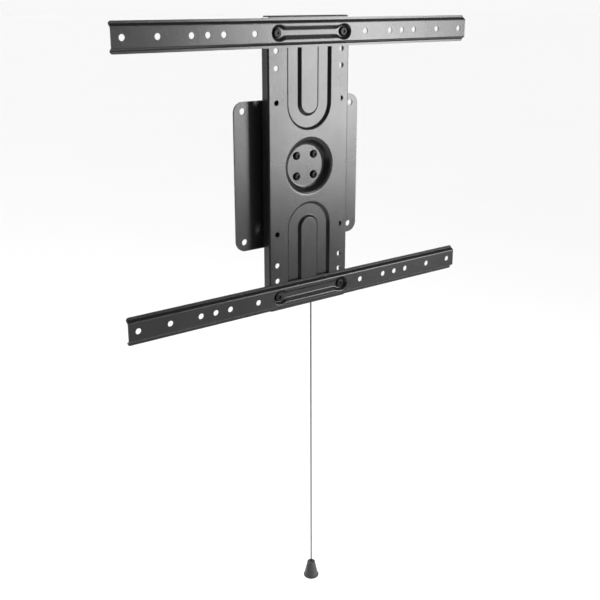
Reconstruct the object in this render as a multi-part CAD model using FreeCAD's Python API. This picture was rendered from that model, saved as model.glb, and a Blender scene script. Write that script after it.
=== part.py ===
import FreeCAD, Part
import math
import os

os.makedirs("parts", exist_ok=True)

# Rotating monitor wall mount: wall plate, turning carrier tray, two display rails and a cord-released lock.
# X runs right as seen from the front, Y runs back into the wall, Z runs up. The wall face lies at Y = 0.

# Clearances, and how far a cut runs past the face that it opens
face_gap = 0.3
run_clear = 0.05
bolt_clear = 0.3
cut_over = 1.0

# Wall plate
wall_pattern_x = 202.0
wall_pattern_z = 200.0
wall_edge_x = 15.0
wall_edge_z = 14.0
wall_t = 3.0
wall_corner_r = 16.0
wall_hole_d = 10.0

# Hub: turning axis above the wall hole pattern, and the pieces stacked along it
hub_z = 12.0
post_d = 20.0
post_spigot_d = 16.0
stud_d = 12.0
rear_washer_t = 1.5
rear_washer_d = 60.0
rotor_d = 66.0
rotor_len = 13.6
rotor_web_t = 4.7
rotor_bore_d = 35.0
front_washer_t = 1.5
disc_spring_t = 0.9
disc_spring_rise = 0.4
nut_af = 19.0
nut_t = 4.6
stud_tip = 0.4
hex_chamfer = 0.5

# Index flange round the rotor, with one notch each quarter turn
index_d = 90.0
index_t = 5.0

# Lock bolt, its housing and its spring, beside and below the hub
lock_x = 20.0
lock_w = 10.0
lock_depth = 6.9
lock_len = 24.0
lock_nose = 1.5
lock_travel = 9.0
lock_clear = 0.5
stem_d = 4.0
stem_len = 30.0
housing_wall = 1.5
housing_top = 4.0
housing_floor = 3.0
ear_w = 9.0
ear_t = 2.0
ear_screw_d = 4.0
ear_head_d = 7.0
ear_head_t = 2.2
ear_head_r = 1.3
spring_wire = 0.8
spring_d = 6.4
spring_len = 12.0
spring_turns = 6.0

# Pull cord, its crimped sleeve, its bell and its knot
cord_d = 2.2
sleeve_d = 6.0
sleeve_len = 14.0
sleeve_grip = 6.0
sleeve_round = 0.8
bell_drop = 727.6
bell_h = 28.5
bell_top_d = 13.3
bell_mouth_d = 26.9
bell_bead = 0.6
bell_bead_h = 2.1
bell_wall = 2.2
bell_round = 1.2
bell_edge_r = 0.5
knot_d = 6.0
knot_round = 2.1

# Display rails, pressed hat sections across the tray
sheet_t = 2.0
rail_z = 200.0
rail_edge = 15.0
rail_h = 42.0
rail_depth = 7.3
rail_web_half = 14.0
rail_lip = 3.5
rail_bend_r = 2.4
rail_end_r = 4.0
vesa_hole_d = 9.0
vesa_half_widths = (100.0, 150.0, 175.0, 200.0, 250.0)
vesa_outer_half = 300.0

# Carrier tray, one pressed sheet with all four edges folded back
tray_depth = 16.2
tray_edge = 14.2
tray_overhang = 24.0
tray_bend_r = 2.4
tray_relief = 3.0
tray_relief_r = 1.0
tray_hole_d = 8.4
tray_hole_x = 60.0
tray_row_drops = (25.0, 50.0, 100.0)

# Drawn cup in the middle of the tray
cup_depth = 11.3
cup_rim_d = 83.4
cup_floor_d = 69.4
cup_rim_r = 7.0
cup_floor_r = 5.0
cup_screw_d = 6.0
cup_screw_wall = 2.13
cup_screw_len = 11.0

# Hairpin grooves pressed above and below the cup
groove_gap = 13.8
groove_outer = 40.5
groove_inner = 14.9
groove_tail = 13.0
groove_depth = 4.0
groove_run = 4.0
press_r = 1.2

# Dog-bone pocket in each rail, deep enough to bury the bolt heads
bone_head_gap = 0.7
bone_end_run = 3.4
bone_half = 9.0
bone_floor_half = 4.1
bone_neck = 3.6
bone_step = 9.0
bone_blend_r = 6.0

# Button heads of the cup screws and of the rail bolts, with hexagon sockets
cup_head_d = 12.8
cup_head_t = 3.6
cup_head_rim = 0.7
cup_head_top_d = 10.0
cup_head_r = 3.3
cup_key_af = 5.0
cup_key_deep = 2.2
bolt_head_d = 15.0
bolt_head_t = 3.0
bolt_head_rim = 0.8
bolt_head_top_d = 12.4
bolt_head_r = 2.8
bolt_key_af = 5.0
bolt_key_deep = 1.9

# Rail bolts and nuts
bolt_d = 8.0
rail_nut_t = 6.5
rail_nut_af = 13.0
rail_nut_flange_d = 17.9
rail_nut_flange_t = 1.8
rail_nut_flange_edge = 1.0
bolt_spare = 2.0

# Levels along Y, from the wall outwards
wall_front = -wall_t
washer_front = wall_front - rear_washer_t
rotor_back = washer_front - face_gap
rotor_front = rotor_back - rotor_len
rotor_web = rotor_back - rotor_web_t
index_front = rotor_back - index_t
shoulder = rotor_web - face_gap
front_washer_front = shoulder - front_washer_t
spring_front = front_washer_front - disc_spring_t - disc_spring_rise
nut_front = spring_front - nut_t
stud_front = nut_front - stud_tip
cup_front = rotor_front - sheet_t
tray_front = cup_front - cup_depth
tray_back = tray_front + sheet_t
tray_rear = tray_front + tray_depth
rail_front = tray_front - rail_depth
bone_floor = tray_front - sheet_t
bone_depth = bone_floor - rail_front
lock_back = wall_front - housing_wall - face_gap
lock_front = lock_back - lock_depth
lock_y = (lock_back + lock_front) / 2

# Half sizes and patterns
wall_half_w = wall_pattern_x / 2 + wall_edge_x
wall_half_h = wall_pattern_z / 2 + wall_edge_z
tray_half_w = tray_hole_x + tray_edge
tray_half_h = rail_z + tray_overhang
rail_half_len = vesa_outer_half + rail_edge
groove_center = cup_rim_d / 2 + groove_gap + groove_outer
groove_end = rail_z + groove_tail
bone_end_floor_r = bolt_head_d / 2 + bone_head_gap
bone_end_r = bone_end_floor_r + bone_end_run
cup_pattern = (rotor_bore_d / 2 + cup_screw_wall + cup_screw_d / 2) * math.sqrt(2)

# Heights of the lock along Z
lock_corner = lock_x - lock_w / 2
lock_top = hub_z - math.sqrt((index_d / 2 + lock_clear) ** 2 - lock_corner ** 2)
lock_bottom = lock_top - lock_len
notch_floor = lock_top + lock_travel + lock_clear
housing_high = lock_top - housing_top
housing_seat = lock_bottom - spring_len
housing_low = housing_seat - housing_floor
stem_low = lock_bottom - stem_len
sleeve_high = stem_low + sleeve_grip
sleeve_low = sleeve_high - sleeve_len
bell_top = hub_z - bell_drop
bell_low = bell_top - bell_h
bell_ceiling = bell_top - bell_wall

# The bell's mouth leans on the wall, so the cord hangs a little forward of the lock
bell_y = -bell_mouth_d / 2 - face_gap
cord_top = FreeCAD.Vector(lock_x, lock_y, stem_low - face_gap)
cord_end = FreeCAD.Vector(lock_x, bell_y, bell_ceiling - knot_d / 2)


def flat(y):
    return lambda u, v: FreeCAD.Vector(u, y, v)


def upright(x):
    return lambda u, v: FreeCAD.Vector(x, u, v)


def level(z):
    return lambda u, v: FreeCAD.Vector(u, v, z)


# Start, middle and end of the arc that rounds one corner
def corner_arc(before, point, after, radius):
    ax, ay = before[0] - point[0], before[1] - point[1]
    bx, by = after[0] - point[0], after[1] - point[1]
    la, lb = math.hypot(ax, ay), math.hypot(bx, by)
    ax, ay, bx, by = ax / la, ay / la, bx / lb, by / lb
    half = math.acos(max(-1.0, min(1.0, ax * bx + ay * by))) / 2
    reach = radius / math.tan(half)
    mx, my = ax + bx, ay + by
    lm = math.hypot(mx, my)
    span = radius / math.sin(half) - radius
    start = (point[0] + ax * reach, point[1] + ay * reach)
    middle = (point[0] + mx / lm * span, point[1] + my / lm * span)
    end = (point[0] + bx * reach, point[1] + by * reach)
    return start, middle, end


# A closed outline through corner points, each corner rounded by its own radius
def outline(corners, place):
    count = len(corners)
    arcs = []
    for i in range(count):
        u, v, radius = corners[i]
        if radius > 0:
            arcs.append(corner_arc(corners[i - 1], (u, v), corners[(i + 1) % count], radius))
        else:
            arcs.append(((u, v), None, (u, v)))
    edges = []
    for i in range(count):
        start, middle, end = arcs[i]
        if middle:
            edges.append(Part.Arc(place(*start), place(*middle), place(*end)).toShape())
        following = arcs[(i + 1) % count][0]
        if math.hypot(following[0] - end[0], following[1] - end[1]) > 1e-6:
            edges.append(Part.makeLine(place(*end), place(*following)))
    return Part.Wire(edges)


def prism(corners, place, travel):
    return Part.Face(outline(corners, place)).extrude(travel)


def along_y(corners, y_from, y_to):
    return prism(corners, flat(y_from), FreeCAD.Vector(0, y_to - y_from, 0))


def block(x0, x1, y0, y1, z0, z1):
    return Part.makeBox(x1 - x0, y1 - y0, z1 - z0, FreeCAD.Vector(x0, y0, z0))


def rectangle(half_w, half_h, radius):
    signs = ((-1, -1), (1, -1), (1, 1), (-1, 1))
    return [(su * half_w, sv * half_h, radius) for su, sv in signs]


# A round rod along Y between two levels
def rod(x, z, diameter, y_from, y_to):
    start = FreeCAD.Vector(x, y_from, z)
    return Part.makeCylinder(diameter / 2, y_to - y_from, start, FreeCAD.Vector(0, 1, 0))


def rod_z(x, y, diameter, z_from, z_to):
    return Part.makeCylinder(diameter / 2, z_to - z_from, FreeCAD.Vector(x, y, z_from))


# A turned piece about an axis along Y: corners hold radius and level
def turned_y(x, z, corners):
    face = Part.Face(outline(corners, lambda r, y: FreeCAD.Vector(x + r, y, z)))
    return face.revolve(FreeCAD.Vector(x, 0, z), FreeCAD.Vector(0, 1, 0), 360)


def turned_z(x, y, corners):
    face = Part.Face(outline(corners, lambda r, z: FreeCAD.Vector(x + r, y, z)))
    return face.revolve(FreeCAD.Vector(x, y, 0), FreeCAD.Vector(0, 0, 1), 360)


def hex_prism(x, z, across_flats, y_from, y_to):
    radius = across_flats / math.sqrt(3)
    corners = []
    for i in range(6):
        angle = math.radians(60 * i + 30)
        corners.append((x + radius * math.cos(angle), z + radius * math.sin(angle), 0))
    return along_y(corners, y_from, y_to)


# A hexagon along Y with the corners of its free end turned off
def hex_head(x, z, across_flats, y_seat, y_end):
    radius = across_flats / math.sqrt(3)
    flat_r = across_flats / 2 - hex_chamfer
    wide = radius + cut_over
    drop = hex_chamfer * (wide - flat_r) / (radius - flat_r)
    y_wide = y_end + math.copysign(drop, y_seat - y_end)
    cone = [(0, y_end, 0), (flat_r, y_end, 0), (wide, y_wide, 0), (wide, y_seat, 0), (0, y_seat, 0)]
    return hex_prism(x, z, across_flats, y_seat, y_end).common(turned_y(x, z, cone))


# The other side of a bent sheet: each line of the path moved over by one sheet thickness
def offset_path(path, thick):
    lines = []
    for a, b in zip(path, path[1:]):
        length = math.hypot(b[0] - a[0], b[1] - a[1])
        nu, nv = -(b[1] - a[1]) / length * thick, (b[0] - a[0]) / length * thick
        lines.append(((a[0] + nu, a[1] + nv), (b[0] + nu, b[1] + nv)))
    shifted = [lines[0][0]]
    for (p, q), (r, s) in zip(lines, lines[1:]):
        du, dv = q[0] - p[0], q[1] - p[1]
        eu, ev = s[0] - r[0], s[1] - r[1]
        k = ((r[0] - p[0]) * ev - (r[1] - p[1]) * eu) / (du * ev - dv * eu)
        shifted.append((p[0] + du * k, p[1] + dv * k))
    shifted.append(lines[-1][1])
    return shifted


# Inset and depth down a pressed wall, rounded into the face and into the floor
def wall_steps(depth, run):
    angle = math.atan2(depth, run)
    reach = press_r * math.tan(angle / 2)
    steps = []
    for turn in (0, angle / 2, angle):
        steps.append((-reach + press_r * math.sin(turn), press_r * (1 - math.cos(turn))))
    ending = [(run - inset, depth - down) for inset, down in reversed(steps)]
    return steps + ending


# The hollow of a pressing, cut from the front: a stack of outlines that shrink with depth
def pressed_hollow(shape, y_face, depth, run):
    steps = wall_steps(depth, run)
    wires = [outline(shape(steps[0][0] / run, 0), flat(y_face - cut_over))]
    for inset, down in steps:
        wires.append(outline(shape(inset / run, 0), flat(y_face + down)))
    return Part.makeLoft(wires, True, True)


# The back of a pressing: the same wall, one sheet thickness further out
def pressed_back(shape, y_face, depth, run):
    grow = sheet_t * math.hypot(depth, run) / depth
    start = sheet_t / 2 / depth
    finish = 1 + sheet_t / depth
    first = outline(shape(start, grow), flat(y_face + depth * start))
    last = outline(shape(finish, grow), flat(y_face + depth * finish))
    return Part.makeLoft([first, last], True, True)


def moved(shape, x, y, z):
    copy = shape.copy()
    copy.translate(FreeCAD.Vector(x, y, z))
    return copy


def about_hub(shape, degrees):
    copy = shape.copy()
    copy.rotate(FreeCAD.Vector(0, 0, hub_z), FreeCAD.Vector(0, 1, 0), degrees)
    return copy


# Wall plate with the hub seat and the lock screws' holes
def make_wall_plate():
    plate = along_y(rectangle(wall_half_w, wall_half_h, wall_corner_r), wall_front, 0)
    y_from = wall_front - cut_over
    cuts = [rod(0, hub_z, post_spigot_d, y_from, cut_over)]
    for sx in (-1, 1):
        for sz in (-1, 1):
            cuts.append(rod(sx * wall_pattern_x / 2, sz * wall_pattern_z / 2, wall_hole_d, y_from, cut_over))
    for x, z in ear_points():
        cuts.append(rod(x, z, ear_screw_d, y_from, cut_over))
    return plate.cut(cuts)


# Post that carries the rotor, shouldered for the front washer
def make_pivot_post():
    corners = [
        (0, 0, 0),
        (post_spigot_d / 2, 0, 0),
        (post_spigot_d / 2, wall_front, 0),
        (post_d / 2, wall_front, 0),
        (post_d / 2, shoulder, 0),
        (stud_d / 2, shoulder, 0),
        (stud_d / 2, stud_front, 0),
        (0, stud_front, 0),
    ]
    return turned_y(0, hub_z, corners)


def ring(outer_d, inner_d, y_from, y_to):
    bore = rod(0, hub_z, inner_d, y_from - cut_over, y_to + cut_over)
    return rod(0, hub_z, outer_d, y_from, y_to).cut(bore)


# Coned spring washer: its inner edge stands forward of its outer edge
def make_disc_spring():
    outer = rotor_bore_d / 2 - 2 * bolt_clear
    inner = stud_d / 2 + run_clear
    corners = [
        (inner, spring_front, 0),
        (inner, spring_front + disc_spring_t, 0),
        (outer, front_washer_front, 0),
        (outer, front_washer_front - disc_spring_t, 0),
    ]
    return turned_y(0, hub_z, corners)


def make_pivot_nut():
    nut = hex_head(0, hub_z, nut_af, spring_front, nut_front)
    return nut.cut(rod(0, hub_z, stud_d, nut_front - cut_over, spring_front + cut_over))


def cup_points():
    half = cup_pattern / 2
    return [(sx * half, hub_z + sz * half) for sx in (-1, 1) for sz in (-1, 1)]


# Rotor: bored hub with a notched index flange at its back
def make_rotor():
    body = rod(0, hub_z, rotor_d, rotor_front, rotor_back)
    body = body.fuse(rod(0, hub_z, index_d, index_front, rotor_back))
    y_from = rotor_front - cut_over
    y_to = rotor_back + cut_over
    cuts = [rod(0, hub_z, post_d + 2 * run_clear, y_from, y_to)]
    cuts.append(rod(0, hub_z, rotor_bore_d, y_from, rotor_web))
    for x, z in cup_points():
        cuts.append(rod(x, z, cup_screw_d, y_from, cup_front + cup_screw_len))
    side = lock_w / 2 + face_gap
    notch = block(lock_x - side, lock_x + side, index_front - cut_over, y_to, hub_z - index_d, notch_floor)
    for quarter in range(4):
        cuts.append(about_hub(notch, 90 * quarter))
    return body.cut(cuts)


# Button-headed screw along Y: the head's half profile from its seat, then the socket and the shank
def button_screw(x, z, profile, key_af, key_deep, shank):
    seat = profile[0][1]
    crown = profile[-1][1]
    head = turned_y(x, z, [(0, seat, 0), *profile, (0, crown, 0)])
    key = hex_prism(x, z, key_af, crown - cut_over, crown + key_deep)
    return head.fuse(shank).cut(key).removeSplitter()


def make_cup_screw(x, z):
    profile = [
        (cup_head_d / 2, cup_front, 0),
        (cup_head_d / 2, cup_front - cup_head_rim, 0),
        (cup_head_top_d / 2, cup_front - cup_head_t, cup_head_r),
    ]
    shank = rod(x, z, cup_screw_d, cup_front, cup_front + cup_screw_len)
    return button_screw(x, z, profile, cup_key_af, cup_key_deep, shank)


def ear_points():
    spread = lock_w / 2 + face_gap + housing_wall + ear_w / 2
    mid = (housing_high + housing_low) / 2
    return [(lock_x - spread, mid), (lock_x + spread, mid)]


# Lock housing: a closed channel for the bolt, with two ears on the wall plate
def make_lock_housing():
    inner = lock_w / 2 + face_gap
    outer = inner + housing_wall
    wide = outer + ear_w
    front = lock_front - face_gap
    ear_front = wall_front - ear_t
    case = block(lock_x - outer, lock_x + outer, front - housing_wall, wall_front, housing_low, housing_high)
    ears = block(lock_x - wide, lock_x + wide, ear_front, wall_front, housing_low, housing_high)
    back = wall_front - housing_wall
    cuts = [block(lock_x - inner, lock_x + inner, front, back, housing_seat, housing_high + cut_over)]
    stem_hole = stem_d + 2 * run_clear
    cuts.append(rod_z(lock_x, lock_y, stem_hole, housing_low - cut_over, housing_seat + cut_over))
    for x, z in ear_points():
        cuts.append(rod(x, z, ear_screw_d, ear_front - cut_over, wall_front + cut_over))
    return case.fuse(ears).cut(cuts)


def make_ear_screw(x, z):
    seat = wall_front - ear_t
    head = turned_y(x, z, [
        (0, seat, 0),
        (ear_head_d / 2, seat, 0),
        (ear_head_d / 2, seat - ear_head_t, ear_head_r),
        (0, seat - ear_head_t, 0),
    ])
    return head.fuse(rod(x, z, ear_screw_d, seat, -face_gap)).removeSplitter()


# Lock bolt: a square bar with a tapered nose and a round stem for the spring and cord
def make_lock_bolt():
    half = lock_w / 2
    corners = [
        (lock_x - half, lock_bottom, 0),
        (lock_x + half, lock_bottom, 0),
        (lock_x + half, lock_top - lock_nose, 0),
        (lock_x + half - lock_nose, lock_top, 0),
        (lock_x - half + lock_nose, lock_top, 0),
        (lock_x - half, lock_top - lock_nose, 0),
    ]
    bar = along_y(corners, lock_front, lock_back)
    return bar.fuse(rod_z(lock_x, lock_y, stem_d, stem_low, lock_bottom)).removeSplitter()


# Return spring, drawn between the bolt and the housing floor
def make_lock_spring():
    rise = spring_len - spring_wire
    radius = (spring_d - spring_wire) / 2
    helix = Part.makeHelix(rise / spring_turns, rise, radius)
    section = Part.makeCircle(spring_wire / 2, FreeCAD.Vector(radius, 0, 0), FreeCAD.Vector(0, 1, 0))
    coil = Part.Wire(helix).makePipeShell([Part.Wire([section])], True, True)
    return moved(coil, lock_x, lock_y, housing_seat + spring_wire / 2)


# Crimped sleeve that joins the bolt's stem to the cord
def make_cord_sleeve():
    sleeve = turned_z(lock_x, lock_y, [
        (0, sleeve_low, 0),
        (sleeve_d / 2, sleeve_low, sleeve_round),
        (sleeve_d / 2, sleeve_high, sleeve_round),
        (0, sleeve_high, 0),
    ])
    return sleeve.cut([rod_z(lock_x, lock_y, stem_d, stem_low, sleeve_high + cut_over), make_cord()])


def make_cord():
    fall = cord_end - cord_top
    return Part.makeCylinder(cord_d / 2, fall.Length, cord_top, fall)


# Bell pull: a straight cone with a beaded mouth, hung mouth down on the cord
def make_bell():
    hole = cord_d / 2 + bolt_clear
    top_r = bell_top_d / 2
    mouth_r = bell_mouth_d / 2
    foot_r = mouth_r - bell_bead
    bead_top = bell_low + bell_bead_h
    bead_r = foot_r + (top_r - foot_r) * bell_bead_h / bell_h
    corners = [
        (hole, bell_top, 0),
        (top_r, bell_top, bell_round),
        (bead_r, bead_top, 0),
        (mouth_r, bead_top, bell_edge_r),
        (mouth_r, bell_low, bell_edge_r),
        (foot_r - bell_wall, bell_low, bell_edge_r),
        (top_r - bell_wall, bell_ceiling, bell_edge_r),
        (hole, bell_ceiling, 0),
    ]
    return turned_z(lock_x, bell_y, corners)


# Knot inside the bell, tied round the cord's end
def make_knot():
    low = bell_ceiling - knot_d
    ball = turned_z(lock_x, bell_y, [
        (0, low, 0),
        (knot_d / 2, low, knot_round),
        (knot_d / 2, bell_ceiling, knot_round),
        (0, bell_ceiling, 0),
    ])
    return ball.cut(make_cord())


# The tray's block: front edges rounded on all four sides
def tray_block(half_w, half_h, front, bend):
    across = [(-half_w, tray_rear, 0), (half_w, tray_rear, 0), (half_w, front, bend), (-half_w, front, bend)]
    wide = prism(across, level(hub_z - half_h), FreeCAD.Vector(0, 0, 2 * half_h))
    down = [
        (tray_rear, hub_z - half_h, 0),
        (tray_rear, hub_z + half_h, 0),
        (front, hub_z + half_h, bend),
        (front, hub_z - half_h, bend),
    ]
    return wide.common(prism(down, upright(-half_w), FreeCAD.Vector(2 * half_w, 0, 0)))


# Hairpin groove outline at a share of its depth, on the side of the hub given by sign
def groove_shape(sign):
    def corners(share, grow):
        inset = groove_run * share - grow
        outer = groove_outer - inset
        inner = groove_inner + inset
        end_r = (outer - inner) / 2
        end = groove_end - inset
        points = [
            (-outer, end, end_r),
            (-outer, groove_center - outer, outer),
            (outer, groove_center - outer, outer),
            (outer, end, end_r),
            (inner, end, end_r),
            (inner, groove_center - inner, inner),
            (-inner, groove_center - inner, inner),
            (-inner, end, end_r),
        ]
        return [(x, hub_z + sign * z, radius) for x, z, radius in points]
    return corners


# The drawn cup as two turned pieces: the sheet behind its wall, and the hollow in front of it
def make_cup():
    rim = cup_rim_d / 2
    floor = cup_floor_d / 2
    wide = rim + cup_rim_r
    slope = math.atan2(cup_depth, rim - floor)
    reach = (cup_rim_r + cup_floor_r) * math.tan(slope / 2)
    room = min(1.0, math.hypot(cup_depth, rim - floor) / reach)
    rim_r = cup_rim_r * room
    floor_r = cup_floor_r * room
    front = [(0, cup_front), (floor, cup_front), (rim, tray_front), (wide, tray_front)]
    back = offset_path(front, sheet_t)
    middle = tray_front + sheet_t / 2
    ahead = tray_front - cut_over
    skin = turned_y(0, hub_z, [
        (0, middle, 0),
        (*back[0], 0),
        (*back[1], floor_r + sheet_t),
        (*back[2], rim_r - sheet_t),
        (*back[3], 0),
        (wide, middle, 0),
    ])
    hollow = turned_y(0, hub_z, [
        (0, ahead, 0),
        (*front[0], 0),
        (*front[1], floor_r),
        (*front[2], rim_r),
        (*front[3], 0),
        (wide, ahead, 0),
    ])
    return skin, hollow


# Carrier tray: folded edges, corner reliefs, cup, grooves and the rows of holes for the rails
def make_tray():
    body = tray_block(tray_half_w, tray_half_h, tray_front, tray_bend_r)
    inner = tray_block(tray_half_w - sheet_t, tray_half_h - sheet_t, tray_back, tray_bend_r - sheet_t)
    body = body.cut(inner.fuse(moved(inner, 0, tray_depth / 2, 0)))
    skin, hollow = make_cup()
    body = body.fuse(skin)
    cuts = [hollow]
    for sign in (-1, 1):
        body = body.fuse(pressed_back(groove_shape(sign), tray_front, groove_depth, groove_run))
        cuts.append(pressed_hollow(groove_shape(sign), tray_front, groove_depth, groove_run))
    for x, z in cup_points():
        cuts.append(rod(x, z, cup_screw_d + 2 * bolt_clear, cup_front - cut_over, rotor_front + cut_over))
    y_from = tray_front - cut_over
    for sx in (-1, 1):
        for sz in (-1, 1):
            for drop in (0.0,) + tray_row_drops:
                z = hub_z + sz * (rail_z - drop)
                cuts.append(rod(sx * tray_hole_x, z, tray_hole_d, y_from, tray_back + cut_over))
            square = rectangle(tray_relief, tray_relief, tray_relief_r)
            corner = [(sx * tray_half_w + u, hub_z + sz * tray_half_h + v, r) for u, v, r in square]
            cuts.append(along_y(corner, y_from, tray_rear + cut_over))
    return body.cut(cuts)


# Dog-bone outline at a share of the pocket's depth
def bone_shape(z):
    def corners(share, grow):
        end = bone_end_r + (bone_end_floor_r - bone_end_r) * share + grow
        half = bone_half + (bone_floor_half - bone_half) * share + grow
        neck = tray_hole_x - bone_neck
        waist = neck - bone_step
        points = [
            (tray_hole_x + end, end, end),
            (neck, end, bone_blend_r),
            (waist, half, bone_blend_r),
            (-waist, half, bone_blend_r),
            (-neck, end, bone_blend_r),
            (-tray_hole_x - end, end, end),
        ]
        lower = [(u, -v, radius) for u, v, radius in reversed(points)]
        return [(u, z + v, radius) for u, v, radius in points + lower]
    return corners


# Hat section of a rail, from its front path
def rail_section(z):
    lip_z = rail_h / 2
    foot = lip_z - rail_lip
    front = [
        (bone_floor, -lip_z),
        (bone_floor, -foot),
        (rail_front, -rail_web_half),
        (rail_front, rail_web_half),
        (bone_floor, foot),
        (bone_floor, lip_z),
    ]
    back = offset_path(front, -sheet_t)
    soft = rail_bend_r - sheet_t
    radii = (0, soft, rail_bend_r, rail_bend_r, soft, 0)
    back_radii = (0, rail_bend_r, soft, soft, rail_bend_r, 0)
    skin = [(y, z + v, r) for (y, v), r in zip(front, radii)]
    behind = [(y, z + v, r) for (y, v), r in zip(back, back_radii)]
    sheet = skin + behind[::-1]
    filled = skin + [(tray_front, z + lip_z, 0), (tray_front, z - lip_z, 0)]
    return sheet, filled


def make_rail(sign):
    z = hub_z + sign * rail_z
    sheet, filled = rail_section(z)
    travel = FreeCAD.Vector(2 * rail_half_len, 0, 0)
    hat = prism(sheet, upright(-rail_half_len), travel)
    envelope = prism(filled, upright(-rail_half_len), travel)
    bone_back = pressed_back(bone_shape(z), rail_front, bone_depth, bone_end_run)
    hat = hat.fuse(bone_back.common(envelope))
    ends = [(u, z + v, r) for u, v, r in rectangle(rail_half_len, rail_h / 2, rail_end_r)]
    y_from = rail_front - cut_over
    hat = hat.common(along_y(ends, y_from, tray_front + cut_over))
    cuts = [pressed_hollow(bone_shape(z), rail_front, bone_depth, bone_end_run)]
    for sx in (-1, 1):
        hole_d = bolt_d + 2 * bolt_clear
        cuts.append(rod(sx * tray_hole_x, z, hole_d, bone_floor - cut_over, tray_front + cut_over))
        for half in vesa_half_widths + (vesa_outer_half,):
            cuts.append(rod(sx * half, z, vesa_hole_d, y_from, rail_front + sheet_t + cut_over))
    return hat.cut(cuts)


def bolt_points():
    return [(sx * tray_hole_x, hub_z + sz * rail_z) for sx in (-1, 1) for sz in (-1, 1)]


# Low button-headed bolt, seated in the pocket
def make_rail_bolt(x, z):
    profile = [
        (bolt_head_d / 2, bone_floor, 0),
        (bolt_head_d / 2, bone_floor - bolt_head_rim, 0),
        (bolt_head_top_d / 2, bone_floor - bolt_head_t, bolt_head_r),
    ]
    shank = rod(x, z, bolt_d, bone_floor, tray_back + rail_nut_t + bolt_spare)
    return button_screw(x, z, profile, bolt_key_af, bolt_key_deep, shank)


# Flanged nut behind the tray
def make_rail_nut(x, z):
    edge = tray_back + rail_nut_flange_edge
    collar = tray_back + rail_nut_flange_t
    rear = tray_back + rail_nut_t
    flange = turned_y(x, z, [
        (0, tray_back, 0),
        (rail_nut_flange_d / 2, tray_back, 0),
        (rail_nut_flange_d / 2, edge, 0),
        (rail_nut_af / 2, collar, 0),
        (0, collar, 0),
    ])
    body = flange.fuse(hex_head(x, z, rail_nut_af, edge, rear))
    return body.cut(rod(x, z, bolt_d, tray_back - cut_over, rear + cut_over)).removeSplitter()


nodes = {
    "wall_plate": make_wall_plate(),
    "pivot_post": make_pivot_post(),
    "rear_washer": ring(rear_washer_d, post_d + 2 * run_clear, washer_front, wall_front),
    "front_washer": ring(rotor_bore_d - 2 * bolt_clear, stud_d + 2 * run_clear, front_washer_front, shoulder),
    "disc_spring": make_disc_spring(),
    "pivot_nut": make_pivot_nut(),
    "hub_rotor": make_rotor(),
    "cup_screws": Part.makeCompound([make_cup_screw(x, z) for x, z in cup_points()]),
    "lock_housing": make_lock_housing(),
    "housing_screws": Part.makeCompound([make_ear_screw(x, z) for x, z in ear_points()]),
    "lock_bolt": make_lock_bolt(),
    "lock_spring": make_lock_spring(),
    "cord_sleeve": make_cord_sleeve(),
    "cord": make_cord(),
    "bell_pull": make_bell(),
    "cord_knot": make_knot(),
    "carrier_tray": make_tray(),
    "rail_upper": make_rail(1),
    "rail_lower": make_rail(-1),
    "rail_bolts": Part.makeCompound([make_rail_bolt(x, z) for x, z in bolt_points()]),
    "rail_nuts": Part.makeCompound([make_rail_nut(x, z) for x, z in bolt_points()]),
}

for name, shape in nodes.items():
    print(name, "valid", shape.isValid(), "solids", len(shape.Solids), "volume", round(shape.Volume, 1))
    shape.exportStep("parts/" + name + ".step")
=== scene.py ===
import bpy
import math
from mathutils import Matrix, Vector


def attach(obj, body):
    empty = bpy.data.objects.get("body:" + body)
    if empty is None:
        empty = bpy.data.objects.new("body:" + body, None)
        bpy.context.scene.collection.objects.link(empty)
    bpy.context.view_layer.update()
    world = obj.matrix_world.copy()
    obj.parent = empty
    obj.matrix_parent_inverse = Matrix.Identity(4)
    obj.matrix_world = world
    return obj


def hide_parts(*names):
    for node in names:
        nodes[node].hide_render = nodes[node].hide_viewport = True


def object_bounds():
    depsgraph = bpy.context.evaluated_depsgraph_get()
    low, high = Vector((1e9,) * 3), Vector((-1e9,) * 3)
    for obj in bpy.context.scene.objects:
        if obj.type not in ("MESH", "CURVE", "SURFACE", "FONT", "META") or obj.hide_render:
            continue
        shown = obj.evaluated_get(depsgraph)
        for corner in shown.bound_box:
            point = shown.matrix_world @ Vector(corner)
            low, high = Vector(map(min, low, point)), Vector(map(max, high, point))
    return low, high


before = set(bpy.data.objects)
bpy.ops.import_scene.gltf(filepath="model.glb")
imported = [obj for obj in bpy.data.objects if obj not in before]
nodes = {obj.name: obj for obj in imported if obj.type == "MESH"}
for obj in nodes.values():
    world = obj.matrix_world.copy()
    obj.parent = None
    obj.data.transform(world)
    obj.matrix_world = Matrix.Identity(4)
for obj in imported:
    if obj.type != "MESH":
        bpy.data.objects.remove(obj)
cadLow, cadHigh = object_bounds()
scene = bpy.context.scene
scene.view_settings.view_transform = "Standard"
print("frame loaded:", len(nodes), "nodes")


# unit vector by angles in degrees: azimuth 0 is in front and grows to the right, elevation grows upwards
def direction(spec):
    around, above = math.radians(spec["azimuth"]), math.radians(spec["elevation"])
    level = math.cos(above)
    return Vector((math.sin(around) * level, -math.cos(around) * level, math.sin(above)))


# camera: fitted to the hole rows of both rails, metres in the part's own frame
cameraView = {
    "place": (-0.75863, -1.07332, 0.26060),
    "azimuth": -35.427,
    "elevation": 16.219,
    "roll": 0.01,
    "lens": 51.006,
    "sensor": 36.0,
    "shiftDown": 55.0 / 600.0,  # the photograph's optical axis lies above its middle
    "near": 0.05,
    "far": 60.0,
}


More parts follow.
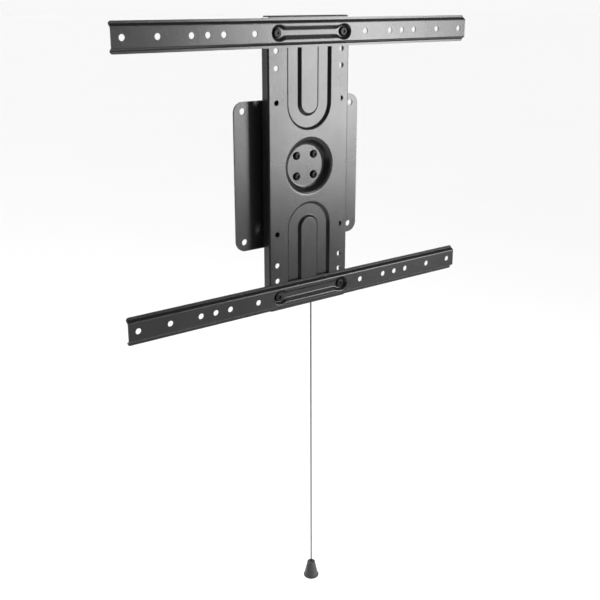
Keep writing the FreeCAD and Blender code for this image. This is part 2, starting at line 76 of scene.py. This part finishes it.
def addCamera(spec):
    data = bpy.data.cameras.new("camera")
    data.sensor_width = spec["sensor"]
    data.lens = spec["lens"]
    data.shift_y = -spec["shiftDown"]
    data.clip_start = spec["near"]
    data.clip_end = spec["far"]
    camera = bpy.data.objects.new("camera", data)
    aim = direction(spec).to_track_quat("Z", "Y").to_matrix().to_4x4()
    roll = Matrix.Rotation(math.radians(spec["roll"]), 4, "Z")
    camera.matrix_world = Matrix.Translation(Vector(spec["place"])) @ aim @ roll
    scene.collection.objects.link(camera)
    scene.camera = camera


addCamera(cameraView)
print("camera placed")


# small helpers for node trees: a node by type name, with its settings and its inputs by name or number
def addNode(tree, kind, settings=None, inputs=None):
    node = tree.nodes.new(kind)
    for key, value in (settings or {}).items():
        setattr(node, key, value)
    for key, value in (inputs or {}).items():
        socket = node.inputs[key]
        if hasattr(value, "is_output"):
            tree.links.new(value, socket)
        else:
            socket.default_value = value
    return node


def newMaterial(name):
    material = bpy.data.materials.new(name)
    material.use_nodes = True
    tree = material.node_tree
    return material, tree, tree.nodes["Principled BSDF"]


# a pattern's dictionary holds its noise (scale per metre, detail, rough), the span of it
# that is used, and the strength and height in metres of its bump
def noise(tree, coords, pattern):
    inputs = {"Vector": coords, "Scale": pattern["scale"], "Detail": pattern["detail"]}
    inputs["Roughness"] = pattern["rough"]
    return addNode(tree, "ShaderNodeTexNoise", {"noise_dimensions": "3D"}, inputs).outputs["Fac"]


# carries the span of a value, low to high, over to the target's low and high
def remap(tree, value, span, target=(0.0, 1.0)):
    inputs = {"Value": value, "From Min": span[0], "From Max": span[1]}
    inputs.update({"To Min": target[0], "To Max": target[1]})
    return addNode(tree, "ShaderNodeMapRange", None, inputs).outputs["Result"]


def mixColour(tree, share, first, second):
    node = addNode(tree, "ShaderNodeMix", {"data_type": "RGBA"}, {"Factor": share})
    colours = [s for s in node.inputs if s.type == "RGBA"]
    colours[0].default_value = (*first, 1.0)
    colours[1].default_value = (*second, 1.0)
    return [s for s in node.outputs if s.type == "RGBA"][0]


def bump(tree, height, pattern, normal=None):
    inputs = {"Height": height, "Strength": pattern["strength"], "Distance": pattern["height"]}
    if normal is not None:
        inputs["Normal"] = normal
    return addNode(tree, "ShaderNodeBump", None, inputs).outputs["Normal"]


def maths(tree, operation, *values):
    inputs = dict(enumerate(values))
    return addNode(tree, "ShaderNodeMath", {"operation": operation}, inputs).outputs[0]


def objectCoords(tree):
    return addNode(tree, "ShaderNodeTexCoord").outputs["Object"]


# powder coat: dark base, orange-peel ripple of about 2 mm, fine grain, slow change of gloss
powderCoat = {
    "dark": (0.007, 0.007, 0.0075),
    "light": (0.014, 0.014, 0.015),
    "peel": {"scale": 520.0, "detail": 1.0, "rough": 0.5, "strength": 0.25, "height": 0.0004},
    "grain": {"scale": 2600.0, "detail": 2.0, "rough": 0.5, "span": (0.35, 0.7),
              "strength": 0.12, "height": 0.00012},
    "cloud": {"scale": 16.0, "detail": 3.0, "rough": 0.5, "span": (0.3, 0.7)},
    "roughness": (0.23, 0.28),
    "specular": 0.32,
}


def makePowderCoat(name, spec):
    material, tree, shader = newMaterial(name)
    coords = objectCoords(tree)
    peel = noise(tree, coords, spec["peel"])
    grain = noise(tree, coords, spec["grain"])
    cloud = noise(tree, coords, spec["cloud"])
    tone = mixColour(tree, remap(tree, grain, spec["grain"]["span"]), spec["dark"], spec["light"])
    tree.links.new(tone, shader.inputs["Base Color"])
    gloss = remap(tree, cloud, spec["cloud"]["span"], spec["roughness"])
    tree.links.new(gloss, shader.inputs["Roughness"])
    ripple = bump(tree, peel, spec["peel"])
    surface = bump(tree, grain, spec["grain"], ripple)
    tree.links.new(surface, shader.inputs["Normal"])
    shader.inputs["Specular IOR Level"].default_value = spec["specular"]
    return material


# plated or blackened steel: a metal whose roughness is broken by fine scratches and slow stains
steelStain = {"scale": 140.0, "detail": 4.0, "rough": 0.6}
steelScratch = {"scale": 3200.0, "detail": 2.0, "rough": 0.7, "span": (0.25, 0.75),
                "strength": 0.1, "height": 0.00008}
blackOxide = {
    "dark": (0.009, 0.009, 0.0095),
    "light": (0.022, 0.022, 0.023),
    "roughness": (0.36, 0.48),
}
zincPlate = {
    "dark": (0.45, 0.45, 0.44),
    "light": (0.62, 0.62, 0.6),
    "roughness": (0.28, 0.42),
}
springTemper = {
    "dark": (0.3, 0.3, 0.31),
    "light": (0.45, 0.45, 0.45),
    "roughness": (0.25, 0.35),
}


def makeSteel(name, spec):
    material, tree, shader = newMaterial(name)
    coords = objectCoords(tree)
    stain = noise(tree, coords, steelStain)
    scratch = noise(tree, coords, steelScratch)
    tone = mixColour(tree, stain, spec["dark"], spec["light"])
    tree.links.new(tone, shader.inputs["Base Color"])
    gloss = remap(tree, scratch, steelScratch["span"], spec["roughness"])
    tree.links.new(gloss, shader.inputs["Roughness"])
    tree.links.new(bump(tree, scratch, steelScratch), shader.inputs["Normal"])
    shader.inputs["Metallic"].default_value = 1.0
    return material


# moulded plastic: fine spark-eroded grain over a slow change of tone
mouldCloud = {"scale": 60.0, "detail": 2.0, "rough": 0.5}
mouldGrain = {"detail": 2.0, "rough": 0.5, "span": (0.3, 0.7), "strength": 0.2, "height": 0.0001}
washerNylon = {
    "dark": (0.62, 0.6, 0.54),
    "light": (0.7, 0.68, 0.62),
    "roughness": (0.45, 0.6),
    "grain": {**mouldGrain, "scale": 900.0},
}
bellPlastic = {
    "dark": (0.03, 0.03, 0.031),
    "light": (0.045, 0.045, 0.047),
    "roughness": (0.38, 0.5),
    "grain": {**mouldGrain, "scale": 1800.0},
}


def makePlastic(name, spec):
    material, tree, shader = newMaterial(name)
    coords = objectCoords(tree)
    grain = noise(tree, coords, spec["grain"])
    cloud = noise(tree, coords, mouldCloud)
    tone = mixColour(tree, cloud, spec["dark"], spec["light"])
    tree.links.new(tone, shader.inputs["Base Color"])
    gloss = remap(tree, grain, spec["grain"]["span"], spec["roughness"])
    tree.links.new(gloss, shader.inputs["Roughness"])
    tree.links.new(bump(tree, grain, spec["grain"]), shader.inputs["Normal"])
    return material


# braided cord: two diagonal sets of strands crossing each other, as sine waves of height and width
cordBraid = {
    "dark": (0.003, 0.003, 0.003),
    "light": (0.014, 0.014, 0.014),
    "along": 3600.0,  # radians per metre down the cord
    "lean": 1400.0,  # radians per metre across it, one way for each set
    "span": (-0.4, 1.0),
    "strength": 0.6,
    "height": 0.0003,
    "roughness": 0.75,
    "specular": 0.2,
}


def makeBraid(name, spec):
    material, tree, shader = newMaterial(name)
    coords = objectCoords(tree)
    parts = addNode(tree, "ShaderNodeSeparateXYZ", None, {"Vector": coords}).outputs
    along = maths(tree, "MULTIPLY", parts["Z"], spec["along"])
    waves = []
    for lean in (spec["lean"], -spec["lean"]):
        across = maths(tree, "MULTIPLY_ADD", parts["X"], lean, along)
        waves.append(maths(tree, "SINE", across))
    strands = maths(tree, "MAXIMUM", *waves)
    share = remap(tree, strands, spec["span"])
    tree.links.new(mixColour(tree, share, spec["dark"], spec["light"]), shader.inputs["Base Color"])
    tree.links.new(bump(tree, share, spec), shader.inputs["Normal"])
    shader.inputs["Roughness"].default_value = spec["roughness"]
    shader.inputs["Specular IOR Level"].default_value = spec["specular"]
    return material


blackCoat = makePowderCoat("blackCoat", powderCoat)
blackSteel = makeSteel("blackSteel", blackOxide)
zincSteel = makeSteel("zincSteel", zincPlate)
springSteel = makeSteel("springSteel", springTemper)
nylon = makePlastic("nylon", washerNylon)
pullPlastic = makePlastic("pullPlastic", bellPlastic)
braid = makeBraid("braid", cordBraid)

finishes = {
    "wall_plate": blackCoat,
    "carrier_tray": blackCoat,
    "rail_upper": blackCoat,
    "rail_lower": blackCoat,
    "lock_housing": blackCoat,
    "rail_bolts": blackSteel,
    "cup_screws": blackSteel,
    "rail_nuts": zincSteel,
    "pivot_post": zincSteel,
    "front_washer": zincSteel,
    "pivot_nut": zincSteel,
    "hub_rotor": zincSteel,
    "housing_screws": zincSteel,
    "lock_bolt": zincSteel,
    "cord_sleeve": zincSteel,
    "disc_spring": springSteel,
    "lock_spring": springSteel,
    "rear_washer": nylon,
    "bell_pull": pullPlastic,
    "cord_knot": braid,
    "cord": braid,
}
for name, material in finishes.items():
    slots = nodes[name].data.materials
    slots.clear()
    slots.append(material)
print("materials set on", len(finishes), "nodes")

# pull cord: one straight fall from the crimped sleeve to the knot in the bell
pullCord = {
    "top": (0.02, -0.00825, -0.0852564),
    "end": (0.02, -0.01375, -0.7208),
    "diameter": 0.0022,
    "lead": 6,  # diameters from each end to the next point of the route
    "roundness": 4,
    "steps": 24,
}


def addCord(spec):
    top, end = Vector(spec["top"]), Vector(spec["end"])
    near = (end - top).normalized() * spec["diameter"] * spec["lead"]
    route = [top, top + near, end - near, end]
    data = bpy.data.curves.new("pullCord", "CURVE")
    data.dimensions = "3D"
    data.bevel_depth = spec["diameter"] / 2
    data.bevel_resolution = spec["roundness"]
    data.resolution_u = spec["steps"]
    data.use_fill_caps = True
    spline = data.splines.new("NURBS")
    spline.points.add(len(route) - 1)
    for point, place in zip(spline.points, route):
        point.co = (*place, 1.0)
    spline.order_u = 3
    spline.use_endpoint_u = True
    data.materials.append(braid)
    cord = bpy.data.objects.new("pullCord", data)
    scene.collection.objects.link(cord)
    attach(cord, "lock")
    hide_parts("cord")


addCord(pullCord)
print("cord added")

# stage floor: pale and matt, some way below the bell
floorSpec = {
    "half": 60.0,
    "drop": 0.15,
    "tone": (0.86, 0.86, 0.86),
    "fade": 0.985,  # the darker tone's share of the paler one
    "cloud": {"scale": 1.5, "detail": 2.0, "rough": 0.5},
    "roughness": 0.9,
    "specular": 0.1,
}


def addPlane(name, corners, material):
    mesh = bpy.data.meshes.new(name)
    mesh.from_pydata(corners, [], [(0, 1, 2, 3)])
    mesh.materials.append(material)
    plane = bpy.data.objects.new(name, mesh)
    scene.collection.objects.link(plane)
    return plane


def addFloor(spec):
    material, tree, shader = newMaterial("floorTone")
    cloud = noise(tree, objectCoords(tree), spec["cloud"])
    shade = [c * spec["fade"] for c in spec["tone"]]
    tree.links.new(mixColour(tree, cloud, shade, spec["tone"]), shader.inputs["Base Color"])
    shader.inputs["Roughness"].default_value = spec["roughness"]
    shader.inputs["Specular IOR Level"].default_value = spec["specular"]
    low, half = cadLow.z - spec["drop"], spec["half"]
    corners = [(-half, -half, low), (half, -half, low), (half, half, low), (-half, half, low)]
    addPlane("floor", corners, material)


# lights, all aimed at the part's origin
softLight = {  # upright panel at the right front
    "azimuth": 39.0,
    "elevation": 1.5,
    "distance": 2.4,
    "wide": 0.9,
    "tall": 1.15,
    "watts": 14.4,
    "spread": 80.0,
}
stripLight = {  # long strip higher up on the same side
    "azimuth": 36.0,
    "elevation": 40.0,
    "distance": 2.4,
    "wide": 2.0,
    "tall": 0.25,
    "watts": 9.0,
    "spread": 100.0,
}
backLight = {  # broad sun from behind and above
    "azimuth": 205.0,
    "elevation": 55.0,
    "strength": 3.5,
    "blur": 40.0,
}


def placeLight(name, data, spec, distance):
    light = bpy.data.objects.new(name, data)
    toward = direction(spec)
    light.location = toward * distance
    light.rotation_mode = "QUATERNION"
    light.rotation_quaternion = (-toward).to_track_quat("-Z", "Y")
    scene.collection.objects.link(light)


def addSoftLight(name, spec):
    data = bpy.data.lights.new(name, "AREA")
    data.shape = "RECTANGLE"
    data.size = spec["wide"]
    data.size_y = spec["tall"]
    data.energy = spec["watts"]
    data.spread = math.radians(spec["spread"])
    placeLight(name, data, spec, spec["distance"])


def addBackLight(name, spec):
    data = bpy.data.lights.new(name, "SUN")
    data.energy = spec["strength"]
    data.angle = math.radians(spec["blur"])
    placeLight(name, data, spec, 0.0)  # only a sun's direction counts, not its place


# a black card at the left, seen only in reflections, keeps the pressed walls dark
darkCard = {
    "azimuth": -72.0,
    "elevation": 0.0,
    "distance": 1.6,
    "wide": 2.6,
    "low": -0.88,
    "high": 1.1,
    "tone": (0.01, 0.01, 0.01),
    "roughness": 1.0,
    "specular": 0.0,
}


def addDarkCard(spec):
    material, _, shader = newMaterial("cardTone")
    shader.inputs["Base Color"].default_value = (*spec["tone"], 1.0)
    shader.inputs["Roughness"].default_value = spec["roughness"]
    shader.inputs["Specular IOR Level"].default_value = spec["specular"]
    toward = direction(spec)
    middle = toward * spec["distance"]
    side = Vector((-toward.y, toward.x, 0.0)) * spec["wide"] / 2
    low, high = Vector((0.0, 0.0, spec["low"])), Vector((0.0, 0.0, spec["high"]))
    corners = [middle - side + low, middle + side + low, middle + side + high, middle - side + high]
    card = addPlane("darkCard", corners, material)
    card.visible_camera = False
    card.visible_diffuse = False
    card.visible_shadow = False


# sky: pale at the horizon, darker overhead, by the height of the view direction
sky = {
    "horizon": (0.94, 0.94, 0.94),
    "top": (0.12, 0.12, 0.12),
    "span": (0.05, 0.5),  # heights between which it darkens
}


def addSky(spec):
    world = bpy.data.worlds.new("sky")
    world.use_nodes = True
    tree = world.node_tree
    view = addNode(tree, "ShaderNodeTexCoord").outputs["Generated"]
    parts = addNode(tree, "ShaderNodeSeparateXYZ", None, {"Vector": view}).outputs
    share = remap(tree, parts["Z"], spec["span"])
    tone = mixColour(tree, share, spec["horizon"], spec["top"])
    tree.links.new(tone, tree.nodes["Background"].inputs["Color"])
    scene.world = world


addFloor(floorSpec)
addSoftLight("softLight", softLight)
addSoftLight("stripLight", stripLight)
addDarkCard(darkCard)
addBackLight("backLight", backLight)
addSky(sky)
print("stage ready")
